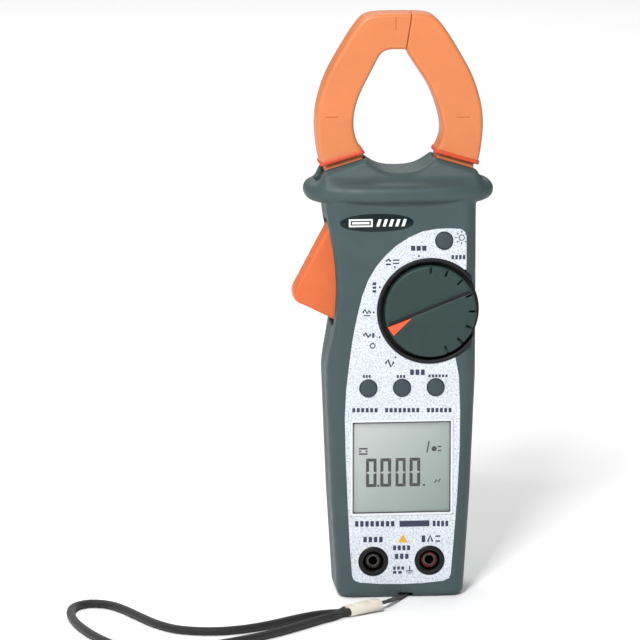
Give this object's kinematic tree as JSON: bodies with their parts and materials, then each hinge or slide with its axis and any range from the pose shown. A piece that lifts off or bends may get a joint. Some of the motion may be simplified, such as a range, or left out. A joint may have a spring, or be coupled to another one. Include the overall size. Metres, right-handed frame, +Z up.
{
  "type": "clamp meter",
  "caption": "Hand-held clamp meter with a hinged egg-shaped jaw, side trigger, rotary selector, push keys, display, shrouded input sockets and a wrist strap.",
  "frame": {"origin": "centre of the flat lower end, on the plane where the two case halves meet", "axes": "+Z up along the meter from its lower end to the jaw, -Y out of the front face with the display, +X to the reader's right; the trigger is on the -X side"},
  "size_m": [0.1861, 0.1342, 0.252],
  "materials": {
    "slate": "slate grey moulded ABS with a fine satin grain",
    "label": "silver-grey printed front foil, satin",
    "badge": "dark plate, gloss",
    "white": "white moulded frame",
    "lens": "clear window",
    "lcd": "grey-green reflective display",
    "diffuser": "white light guide",
    "dark_rubber": "conductive rubber",
    "pcb": "green board",
    "black_plastic": "black, satin",
    "knob": "dark slate satin plastic",
    "pointer": "orange-red inlay",
    "cream_plastic": "natural plastic",
    "brass": "plated brass",
    "steel": "zinc-plated steel",
    "key": "soft grey key",
    "red_plastic": "dark red",
    "cell": "plain cell sleeve",
    "nickel": "nickel-plated spring steel",
    "orange": "orange moulded ABS, satin",
    "iron": "laminated magnetic core",
    "copper": "enamelled copper wire winding",
    "zinc": "die-cast lever",
    "cord": "black braided cord",
    "ferrule": "cream moulded clip"
  },
  "bodies": {
    "housing": {"front_case": "slate", "rear_case": "slate", "front_label": "label", "badge_plate": "badge", "lcd_bezel": "white", "lcd_lens": "lens", "lcd_glass": "lcd", "lcd_backlight": "diffuser", "zebra_strips": "dark_rubber", "main_pcb": "pcb", "pcb_chips": "black_plastic", "tact_switches": "black_plastic", "buzzer": "black_plastic", "detent_ball": "steel", "detent_spring": "steel", "com_jack_shroud": "black_plastic", "com_jack_core": "black_plastic", "com_socket": "brass", "volt_jack_shroud": "black_plastic", "volt_jack_core": "red_plastic", "volt_socket": "brass", "batteries": "cell", "battery_contacts": "nickel", "case_screws": "steel", "pivot_pins": "steel", "left_jaw_spring": "steel", "right_jaw_spring": "steel", "strap_bar": "steel", "strap_loop": "cord", "strap_ferrule": "ferrule", "strap_band": "cord"},
    "left_jaw": {"left_jaw_front": "orange", "left_jaw_rear": "orange", "left_core": "iron", "left_coil": "copper", "left_lever": "zinc", "trigger": "orange", "trigger_screws": "steel"},
    "right_jaw": {"right_jaw_front": "orange", "right_jaw_rear": "orange", "right_core": "iron", "right_coil": "copper", "right_lever": "zinc"},
    "selector": {"rotary_knob": "knob", "knob_pointer": "pointer", "selector_rotor": "cream_plastic", "rotor_wipers": "brass"},
    "hold_button": {"hold_key": "key"},
    "left_button": {"left_key": "key"},
    "middle_button": {"middle_key": "key"},
    "right_button": {"right_key": "key"},
    "cover": {"battery_cover": "slate", "battery_cover_screw": "steel"}
  },
  "joints": [
    {"name": "jaw_open", "type": "hinge", "parent": "housing", "child": "left_jaw", "pos_m": [-0.022, 0, 0.17], "axis": [0, -1, 0], "range_deg": [0, 18], "stiffness_Nm_per_rad": 0.6, "springref_deg": -34.38},
    {"name": "right_jaw_open", "type": "hinge", "parent": "housing", "child": "right_jaw", "pos_m": [0.022, 0, 0.17], "axis": [0, -1, 0], "range_deg": [-18, 0]},
    {"name": "selector_turn", "type": "hinge", "parent": "housing", "child": "selector", "pos_m": [0.012, 0, 0.1255], "axis": [0, -1, 0], "range_deg": [-104, 52]},
    {"name": "hold_press", "type": "slide", "parent": "housing", "child": "hold_button", "axis": [0, 1, 0], "range_m": [0, 0.0005], "stiffness_N_per_m": 2000, "springref_m": -0.0003},
    {"name": "left_key_press", "type": "slide", "parent": "housing", "child": "left_button", "axis": [0, 1, 0], "range_m": [0, 0.0005], "stiffness_N_per_m": 2000, "springref_m": -0.0003},
    {"name": "middle_key_press", "type": "slide", "parent": "housing", "child": "middle_button", "axis": [0, 1, 0], "range_m": [0, 0.0005], "stiffness_N_per_m": 2000, "springref_m": -0.0003},
    {"name": "right_key_press", "type": "slide", "parent": "housing", "child": "right_button", "axis": [0, 1, 0], "range_m": [0, 0.0005], "stiffness_N_per_m": 2000, "springref_m": -0.0003},
    {"name": "cover_lift", "type": "slide", "parent": "housing", "child": "cover", "axis": [0, 1, 0], "range_m": [0, 0.04]}
  ],
  "couplings": [
    {"joint": "right_jaw_open", "follows": "jaw_open", "ratio": -1}
  ]
}
